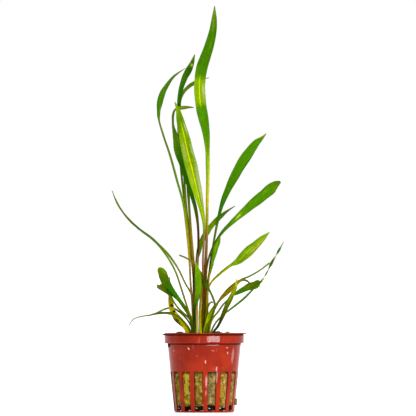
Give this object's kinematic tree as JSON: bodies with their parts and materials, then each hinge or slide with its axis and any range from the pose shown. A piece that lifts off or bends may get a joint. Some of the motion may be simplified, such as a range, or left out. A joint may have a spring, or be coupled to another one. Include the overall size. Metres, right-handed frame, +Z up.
{
  "type": "potted cryptocoryne",
  "caption": "Water plant with long stalked lance-shaped leaves, growing from a rockwool plug in a small slotted net pot.",
  "frame": {"origin": "centre of the pot's flat foot", "axes": "+Z up through the plant, -Y towards the viewer of the picture, +X to the viewer's right"},
  "size_m": [0.1084, 0.0532, 0.2558],
  "materials": {
    "pot_plastic": "thin moulded terracotta-red plastic, glossy, with dried water marks",
    "rockwool": "matted mineral fibre, tan to yellow-olive, wet",
    "roots": "wet brown root strands",
    "crown_tissue": "firm yellow-olive plant tissue",
    "moss": "short dark teal-green moss",
    "leaf_dark": "dark green leaf, wet satin gloss",
    "leaf_green": "green leaf, wet satin gloss",
    "leaf_pale": "bright yellow-green leaf, wet satin gloss",
    "leaf_olive": "olive leaf, satin",
    "leaf_dying": "yellow to brown withering leaf, matte to satin"
  },
  "bodies": {
    "root": {"net_pot": "pot_plastic", "rockwool": "rockwool", "root_mat": "roots", "root_tuft": "roots", "crown": "crown_tissue", "moss_left": "moss", "moss_right": "moss", "moss_edge_right": "moss", "leaf_tallest": "leaf_dark", "leaf_broad_pale": "leaf_pale", "leaf_folded_tip": "leaf_dark", "leaf_behind_broad": "leaf_green", "leaf_upper_back": "leaf_dark", "leaf_arching_back": "leaf_green", "leaf_left_curved": "leaf_green", "leaf_short_front": "leaf_pale", "leaf_bent_back": "leaf_dark", "leaf_short_striped": "leaf_pale", "stalk_hooked": "leaf_olive", "leaf_ochre_hooked": "leaf_dying", "leaf_spear_right": "leaf_pale", "leaf_olive_front": "leaf_olive", "leaf_blunt_right": "leaf_green", "leaf_twisted_thin": "leaf_olive", "leaf_thread_right": "leaf_olive", "leaf_upper_right": "leaf_green", "leaf_behind_stalks": "leaf_pale", "leaf_broad_right": "leaf_dark", "leaf_beside_stalks": "leaf_pale", "leaf_long_left": "leaf_green", "leaf_long_left_lower": "leaf_olive", "leaf_blunt_left": "leaf_dark", "leaf_notched_left": "leaf_olive", "leaf_yellow_dying": "leaf_dying", "leaf_drooping_left": "leaf_dark", "leaf_thin_arch": "leaf_olive", "stalk_dead": "leaf_dying"}
  },
  "joints": []
}
